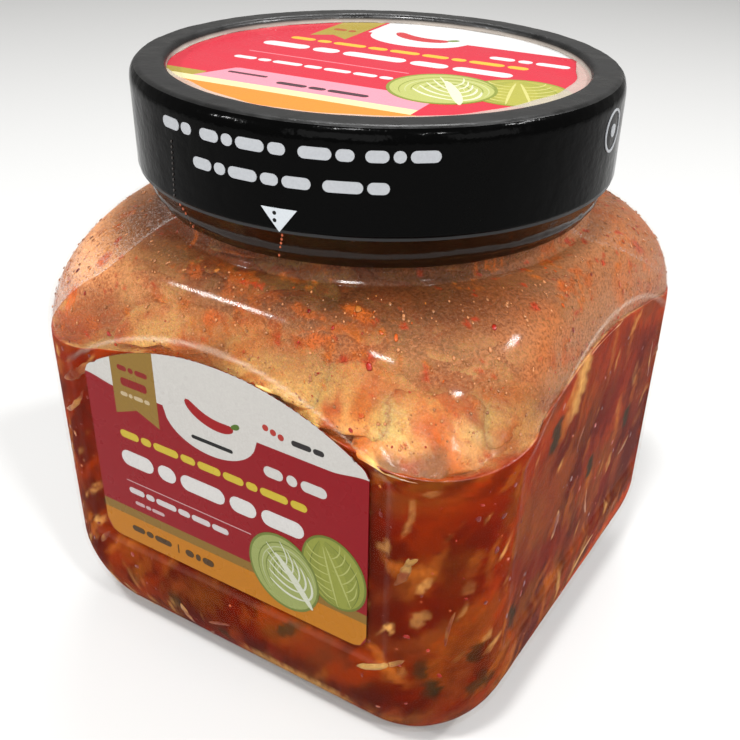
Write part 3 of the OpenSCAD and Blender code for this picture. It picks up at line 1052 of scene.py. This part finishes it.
class Print:
    """Flat fields of colour, laid on a surface in layers, each above the last. place(x, y, lift) gives
    their 3-D points, and outline(x) gives the label's lower and upper edge."""

    def __init__(self, place, light, outline=None):
        self.place, self.light, self.outline = place, light, outline
        self.points, self.colours, self.blocks = [], [], []
        self.count, self.layer = 0, 0.0

    def field(self, first, second, colour):
        """A closed thin field between two lines of as many 2-D points."""
        first, second = np.asarray(first, float), np.asarray(second, float)
        self.layer += 0.0015
        n = len(first)
        flat = np.concatenate([first, second])
        low = self.place(flat[:, 0], flat[:, 1], 0)
        high = self.place(flat[:, 0], flat[:, 1], 0.03 + self.layer)
        a = np.arange(n - 1)
        front = stack(a, a + 1, n + a + 1, n + a) + 2 * n
        back = front[:, ::-1] - 2 * n
        sides = [stack(a, a + 1, a + 1 + 2 * n, a + 2 * n),
                 stack(n + a + 1, n + a, 3 * n + a, 3 * n + a + 1),
                 np.array([[n, 0, 2 * n, 3 * n], [n - 1, 2 * n - 1, 4 * n - 1, 3 * n - 1]])]
        self.points += [low, high]
        # painted shade: every colour is scaled by light, lower where less light falls on the label
        self.colours.append(np.tile(linear(*colour) * self.light, (4 * n, 1)))
        self.blocks += [block + self.count for block in (front, back, *sides)]
        self.count += 4 * n

    def clipped(self, x0, x1, low, high, colour, count=60):
        """A field cut off at the label's outline. low and high are heights or functions of x."""
        x = np.linspace(x0, x1, count)
        least, most = self.outline(x)
        bottom = np.maximum(least, low(x) if callable(low) else low)
        top = np.minimum(most, high(x) if callable(high) else high)
        self.field(stack(x, bottom), stack(x, np.maximum(top, bottom)), colour)

    def bar(self, x0, x1, y0, y1, colour, rounding=0.5):
        """A bar with rounded ends."""
        r = min(rounding, (x1 - x0) / 2, (y1 - y0) / 2)
        turn = np.linspace(0, math.pi / 2, 5)
        x = np.concatenate([x0 + r - r * np.cos(turn), x1 - r + r * np.sin(turn)])
        drop = np.concatenate([r - r * np.sin(turn), r - r * np.cos(turn)])
        if x1 - x0 > 6:
            middle = np.linspace(x0 + r, x1 - r, 12)[1:-1]
            x = np.insert(x, 5, middle)
            drop = np.insert(drop, 5, np.zeros(len(middle)))
        self.field(stack(x, y0 + drop), stack(x, y1 - drop), colour)

    def words(self, x0, x1, y0, y1, colour, step):
        """A row of rounded dashes of uneven length, about step long, that stands for a line of text."""
        lengths = np.array([1.0, 0.55, 1.3, 0.75, 1.15])
        count = max(1, round((x1 - x0) / step))
        lengths = np.resize(lengths, count)
        gap = 0.32 * (y1 - y0)
        lengths = lengths / lengths.sum() * (x1 - x0 - gap * (count - 1))
        for length in lengths:
            self.bar(x0, x0 + length, y0, y1, colour, (y1 - y0) / 2)
            x0 += length + gap

    def shape(self, box, lines, colour):
        """A field given in a small turned box: its middle x and y, half sizes and turn."""
        x, y, wide, high, turn = box
        c, k = math.cos(turn), math.sin(turn)
        spin = np.array([[c, k], [-k, c]])
        moved = [np.asarray(line, float) * (wide, high) @ spin + (x, y) for line in lines]
        self.field(*moved, colour)

    def disc(self, box, colour, grow=1.0):
        turn = np.linspace(0, math.pi, 30)
        x, y = -np.cos(turn) * grow, np.sin(turn) * grow
        self.shape(box, (stack(x, -y), stack(x, y)), colour)

    def stroke(self, box, line, width, colour):
        """A line that tapers to its ends."""
        line = np.asarray(line, float)
        t = np.linspace(-1, 1, len(line))
        along = unit(np.gradient(line, axis=0))
        side = stack(-along[:, 1], along[:, 0]) * (width / 2 * (1.05 - t ** 2) ** 0.5)[:, None]
        self.shape(box, (line - side, line + side), colour)

    def make(self, name, slot, node, roughness, specular):
        points, colours = np.concatenate(self.points), np.concatenate(self.colours)
        paper = printed(name, roughness, specular)
        add_piece(name, slot, node, points, self.blocks, [paper], colours, flat=True)


def arc(x, y, radius, start, end, count=16, flat=1.0):
    """Points of an arc, with its angles in degrees."""
    turn = np.radians(np.linspace(start, end, count))
    return stack(x + radius * np.cos(turn), y + flat * radius * np.sin(turn))


def curve(start, middle, end, count=12):
    """Points of a smooth bend from start to end, drawn towards middle."""
    t = np.linspace(0, 1, count)[:, None]
    start, middle, end = map(np.array, (start, middle, end))
    return start * (1 - t) ** 2 + 2 * middle * t * (1 - t) + end * t ** 2


def draw_cut_cabbage(art, box, edge, green, cream):
    """Half a cabbage, cut face forward: nested leaves around a pale branching stem."""
    pale = (np.array(green) + cream) / 2
    art.disc(box, edge)
    art.disc(box, green, 0.94)
    for k in range(7):
        leaf = arc(0.1, -0.1, 0.86 - 0.11 * k, -30 + 5 * k, 205 - 5 * k, 22)
        art.stroke(box, leaf, 0.028, pale if k % 2 else edge)
    art.stroke(box, curve((0.4, -0.95), (0.3, -0.3), (0.02, 0.5)), 0.2, cream)
    for k in range(5):
        y = -0.72 + 0.22 * k
        reach = 0.62 - 0.1 * k
        for side in (-1, 1):
            middle, end = (0.25 + side * reach * 0.8, y + 0.08), (0.1 + side * reach, y + 0.62)
            art.stroke(box, curve((0.32 - 0.06 * k, y), middle, end), 0.06 - 0.006 * k, cream)


def draw_whole_cabbage(art, box, edge, green, vein):
    """A whole cabbage: overlapping leaves with veins that fan out from their stems."""
    art.disc(box, edge)
    art.disc(box, green, 0.94)
    shade = (np.array(green) * 3 + edge) / 4
    for side, x in ((1, 0.2), (-1, -0.25)):
        leaf = curve((x, -0.9), (x + side * 1.1, -0.1), (x * 0.4, 0.85), 20)
        art.stroke(box, leaf, 0.07, edge)
        art.shape(box, (leaf, leaf * (0.55, 0.92) - (0.05, 0.02)), shade)
        for k in range(6):
            y = -0.7 + 0.22 * k
            end = (x + side * (0.62 - 0.1 * abs(k - 2)), y + 0.38)
            art.stroke(box, curve((x * (1 - 0.12 * k), y), (x + side * 0.3, y + 0.06), end), 0.035, vein)
        art.stroke(box, curve((x, -0.9), (x * 0.7, 0), (x * 0.2, 0.7)), 0.06, vein)


def draw_pepper(art, box, red, green):
    """A red pepper with its stalk, which stands for the maker's mark."""
    art.stroke(box, arc(0, 1.0, 1.25, 205, 335, 18), 0.85, red)
    art.stroke(box, arc(0.2, 1.2, 1.2, 320, 352, 8), 0.3, green)


def bowl(x, middle, radius, flat):
    """Depth of a flattened round bowl at x, and 0 beside it."""
    return flat * np.sqrt(np.maximum(radius ** 2 - (x - middle) ** 2, 0))


def front_outline(count=60):
    """Lower and upper edge of the front label, with its arch and rounded corners."""
    half, low = LABEL_HIGH[0], LABEL_LOW[2]
    radius = arch_radius(half, LABEL_HIGH[2] - LABEL_Z1)
    corner = half - LABEL_R
    corner_z = LABEL_HIGH[2] - radius + math.sqrt((radius - LABEL_R) ** 2 - corner ** 2)
    x = half * np.sin(np.linspace(-math.pi / 2, math.pi / 2, count))
    past = np.maximum(abs(x) - corner, 0)
    dip = np.sqrt(np.maximum(LABEL_R ** 2 - past ** 2, 0))
    arch = LABEL_HIGH[2] - radius + np.sqrt(radius ** 2 - x ** 2)
    return x, low + LABEL_R - dip, np.where(past > 0, np.minimum(arch, corner_z + dip), arch)


def front_fields(art):
    """The large fields of the front label: a white arch, a ribbon, a stripe and the foot."""
    half = LABEL_HIGH[0]
    art.clipped(-half, half, lambda x: 81 + 1.3 * smooth(30, 39, abs(x)) - bowl(x, -2.3, 13.2, 0.66),
                999, WHITE, 90)
    art.clipped(-30.7, -17.3, lambda x: 76.5 - 2.7 * abs(x + 24) / 6.7, 999, (158, 122, 48), 50)
    art.clipped(-half, half, 42.9, 45.6, (150, 112, 42), 50)
    art.clipped(-half, half, 0, 42.9, (206, 128, 10), 50)


def front_lettering(art):
    """Dashes, bars and dots on the front label that stand for its lettering and marks."""
    brown, black = (84, 58, 26), (30, 28, 28)
    art.words(-28.6, -19.4, 86.2, 87.6, (150, 30, 20), 3)
    art.bar(-28, -20, 82.2, 84.4, (150, 20, 16), 0.8)
    art.words(-28.5, -19.5, 79.4, 80.5, (214, 190, 150), 2.4)
    draw_pepper(art, (-2.2, 82.2, 5.6, 3.2, -0.25), (170, 10, 18), (90, 120, 40))
    art.bar(-7.6, 4.2, 75.2, 76.2, black, 0.5)
    for k in range(3):
        art.disc((13.6 + 2.0 * k, 85.6 - 0.5 * k, 0.8, 0.8, 0), (190, 60, 50))
    art.words(20.3, 28.6, 83.7, 85.1, (50, 46, 46), 4)
    art.words(12.6, 29.2, 73.0, 75.8, WHITE, 5.5)
    art.words(-30.4, 24, 67.3, 69.4, (222, 196, 60), 6)
    art.words(-31, 23, 59.2, 63.6, (236, 232, 228), 11)
    art.bar(-30.5, 8, 54.3, 54.55, (220, 170, 170), 0.1)
    art.words(-30, 1.2, 50.8, 52.5, (226, 216, 214), 5)
    art.words(-28.5, -19, 47.6, 48.6, (216, 180, 180), 3)
    art.words(-30.8, -17.8, 38.5, 40.2, brown, 4)
    art.bar(-15.7, -15.4, 37.9, 40.6, brown, 0.1)
    art.words(-13.3, -4.3, 38.3, 40.3, brown, 3.5)


def make_front_label():
    """The label on the front panel: a red field under a white arch, a ribbon, a stripe and cabbages."""
    depth = LABEL_HIGH[1] - LABEL_LOW[1]
    x, low, top = front_outline()

    def place(x, z, lift):
        y = LABEL_HIGH[1] - (depth if lift else 0) - lift
        return stack(x, y, z)

    def outline(u):
        return np.interp(u, x, low), np.interp(u, x, top)

    # painted shade: colours scaled by 0.4, and most are given darker than the round label's, as less light
    # falls on the front
    art = Print(place, 0.4, outline)
    art.field(stack(x, low), stack(x, top), (156, 2, 20))
    front_fields(art)
    front_lettering(art)
    draw_whole_cabbage(art, (30.8, 53.6, 8.4, 10.0, 0.35), (120, 130, 50), (158, 164, 70), (190, 194, 112))
    draw_cut_cabbage(art, (17, 47.3, 9.6, 10.8, 0.45), (124, 136, 62), (168, 178, 104), (226, 228, 206))
    art.make("front_print", "front_print", "front_label", 0.3, 0.12)


def lid_fields(art, rim):
    """The large fields of the round label: red, a white arch, a ribbon, a date patch and stripes."""
    gold = (182, 160, 60)
    art.clipped(-rim, rim, -99, 99, (222, 40, 64), 120)
    art.clipped(-18.5, 38, lambda x: 31 - bowl(x, -4, 13, 0.73), 99, (240, 240, 240), 90)
    art.clipped(-29.5, -19.5, lambda x: 23 - 3.2 * abs(x + 24.5) / 5, 99, gold)
    art.clipped(-rim, -30, -29.5, -25.5, gold)
    art.clipped(-31, 23, -29.5, lambda x: np.minimum(-19, -29.5 + (x + 31) * 2.2), (248, 160, 178))
    art.clipped(-rim, 23, -33.2, -29.5, (252, 236, 180))
    art.clipped(-rim, 26, -99, -33.2, (255, 150, 50))


def lid_lettering(art):
    """Dashes and bars on the round label that stand for its lettering and mark."""
    white = (240, 240, 240)
    art.words(-35, 30, 4.6, 8.8, white, 12)
    art.words(-32, 31, 13.6, 16.2, (250, 196, 60), 7)
    art.words(-33, 8, -10.8, -8.6, white, 6)
    art.words(19, 39, 20, 22.8, white, 6)
    art.bar(-33, 9, -3.6, -3.2, (250, 150, 160), 0.15)
    art.bar(-26, -16, -23.6, -22.4, (90, 50, 60), 0.5)
    art.words(-12, 10, -26.6, -24.8, (80, 50, 60), 7)
    art.words(-27.6, -21.4, 28.4, 30.4, (190, 90, 50), 3)
    draw_pepper(art, (-4, 31.5, 6.4, 4.6, -0.2), (214, 60, 66), (130, 150, 80))


def make_lid_label():
    """The round label in the cap's recess, in the same colours as the front one."""
    turn = math.radians(6)
    c, k = math.cos(turn), math.sin(turn)
    depth = DISC_HIGH[2] - DISC_LOW[2]
    rim = DISC_R - 0.02

    def place(u, v, lift):
        z = DISC_LOW[2] + (depth if lift else 0) + lift
        return stack(u * c - v * k, u * k + v * c, z)

    def outline(x):
        edge = bowl(x, 0, rim, 1)
        return -edge, edge

    # painted light: colours scaled by 0.57, lighter than the front label's, as more light falls on the top
    art = Print(place, 0.57, outline)
    lid_fields(art, rim)
    lid_lettering(art)
    draw_whole_cabbage(art, (36, -6, 11.5, 11, 0.35), (150, 158, 50), (186, 182, 74), (222, 216, 130))
    draw_cut_cabbage(art, (20.5, -11.5, 12, 12.5, 0.3), (146, 156, 60), (196, 200, 112), (240, 240, 206))
    art.make("lid_print", "lid_print", "lid_label", 0.28, 0.2)


def make_band_marks():
    """Light grey marks on the side of the band: two rows of blocks, a pointer and a ring."""
    radius = BAND_R + 0.02

    def place(x, z, lift):
        angle = x / radius - math.pi / 2
        return polar(radius - 0.12 + (0.1 if lift else 0) + lift, angle, z)

    def arc_mm(degrees):
        """Distance along the side from the middle of the front."""
        return math.radians(degrees + 90) * radius

    art = Print(place, 1.0)
    grey = (142, 144, 147)
    for start, end in ((-108, -98.5), (-96, -76), (-73.5, -62.5), (-60.5, -46)):
        art.words(arc_mm(start), arc_mm(end), 141.0, 143.3, grey, 5.5)
    for start, end in ((-98.5, -71), (-68.7, -55.7)):
        art.words(arc_mm(start), arc_mm(end), 134.9, 137.2, grey, 5.5)
    left, right = arc_mm(-81.6), arc_mm(-73.9)
    x = np.linspace(left, right, 9)
    point = 130.5 - 4.8 * (1 - abs(x - (left + right) / 2) / ((right - left) / 2))
    art.field(stack(x, point), stack(x, 130.5), (160, 164, 168))
    for z in (129.5, 128.0):
        art.disc((arc_mm(-78.7), z, 0.42, 0.42, 0), (10, 10, 10))
    ring = (arc_mm(4), 139.5, 4.6, 4.6, 0)
    art.shape(ring, (arc(0, 0, 0.88, 0, 360, 40), arc(0, 0, 1, 0, 360, 40)), grey)
    art.disc(ring, grey, 0.3)
    art.make("band_marks", "black_film", None, 0.3, 0.1)


def make_perforations():
    """Two rows of small holes that let the band be torn off, light where they show the neck behind."""
    centres = []
    for start, end, top in ((-77.6, -80.5, 125.0), (-105.5, -107, 139.0)):
        z = np.arange(BAND_LOW[2] + 0.8, top, 1.15)
        angle = np.radians(start + (end - start) * (top - z) / (top - BAND_LOW[2]))
        centres.append(polar(film_radius(z) + 0.02, angle, z))
    centre = np.concatenate(centres)[:, None]
    n, sides = len(centre), 8
    out = unit(centre * (1, 1, 0))
    side = np.cross((0, 0, 1), out)
    turn = full_turn(sides)[:, None]
    ring = side * np.cos(turn) * 0.2 + np.array([0, 0, 0.32]) * np.sin(turn)
    points = np.concatenate([centre + ring - out * 0.2, centre + ring + out * 0.05], 1)
    bright = smooth(CAP_LOW[2] + 1, CAP_LOW[2] - 1, centre[..., 2:])
    colours = filled(points, linear(30, 24, 20))
    blend(colours, linear(190, 96, 60), bright[..., 0] * np.ones((n, 2 * sides)))
    ink = printed("holes", 0.4, 0.3)
    add_piece("perforations", "black_film", None, points, tube_faces(n, 2, sides), [ink], colours)


# ---------------- camera, light and floor


def aimed(azimuth, elevation, roll=0.0):
    """Right, up and back axes of something that looks at the jar, for angles in degrees. Azimuth 0 is in
    front, and 90 is at +X."""
    a, e, r = np.radians((azimuth, elevation, roll))
    back = np.array([np.sin(a) * np.cos(e), -np.cos(a) * np.cos(e), np.sin(e)])
    level = np.array([np.cos(a), np.sin(a), 0])
    rise = np.cross(back, level)
    return level * np.cos(r) + rise * np.sin(r), rise * np.cos(r) - level * np.sin(r), back


def link(name, data, axes, place):
    """Adds an object with these axes at this place, in metres."""
    thing = bpy.data.objects.new(name, data)
    rows = stack(*axes, place)
    thing.matrix_world = Matrix([*rows.tolist(), (0, 0, 0, 1)])
    bpy.context.scene.collection.objects.link(thing)
    return thing


def make_camera():
    """Seen from the front right and above, as fitted to the outlines in the photo."""
    axes = aimed(30.29, 32.31, 2.0)
    target = np.array([8.33, -1.65, 54.87])
    distance = 271.6
    data = bpy.data.cameras.new("camera")
    data.sensor_width = 36
    data.lens = 48.15
    data.shift_x, data.shift_y = -0.034, 0.056
    data.clip_start = 0.01
    bpy.context.scene.camera = link("camera", data, axes, (target + axes[2] * distance) * MM)


def lamp(name, azimuth, elevation, distance, size, power):
    """A rectangular lamp that points at the middle of the jar. Distance and size are in metres."""
    axes = aimed(azimuth, elevation)
    data = bpy.data.lights.new(name, "AREA")
    data.shape = "RECTANGLE"
    data.size, data.size_y = size
    data.energy = power
    link(name, data, axes, axes[2] * distance + (0, 0, 0.08))


def make_studio():
    """A plain pale floor, an even sky and a few soft lamps."""
    scene = bpy.context.scene
    scene.view_settings.view_transform = "Standard"
    world = bpy.data.worlds.new("sky")
    world.use_nodes = True
    sky = world.node_tree.nodes["Background"]
    sky.inputs["Color"].default_value = (1, 0.985, 0.96, 1)
    sky.inputs["Strength"].default_value = 0.35
    scene.world = world
    lamp("front_low", -40, 28, 1.1, (0.12, 0.07), 7)
    lamp("front_high", 12, 62, 1.1, (0.14, 0.08), 9)
    lamp("right_high", 118, 48, 1.1, (0.12, 0.07), 7)
    lamp("right_low", 62, 42, 1.1, (0.08, 0.05), 5)
    lamp("front_fill", 15, 22, 1.3, (0.9, 0.6), 7)
    lamp("right_fill", 80, 20, 1.3, (0.7, 0.5), 3.5)
    lamp("behind", 205, 60, 1.4, (0.6, 0.4), 7)
    size = 3000.0
    corners = [[-size, -size, 0], [size, -size, 0], [size, size, 0], [-size, size, 0]]
    matt = Nodes("pale_floor")
    pale = matt.finish(matt.bsdf("Diffuse", Color=(0.54, 0.54, 0.535)))
    make_mesh("floor", corners, [np.array([[0, 1, 2, 3]])], [pale])


# ---------------- the scene

make_camera()
make_studio()
make_jar()
make_droplets()
make_kimchi_core()
make_strips()
make_flakes()
make_leaves()
make_band()
make_band_marks()
make_perforations()
make_front_label()
make_lid_label()
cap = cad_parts["cap"]
cap.data.materials.clear()
cap.data.materials.append(moulded("black_plastic", (0.006, 0.006, 0.0065), 0.4, 0.3))
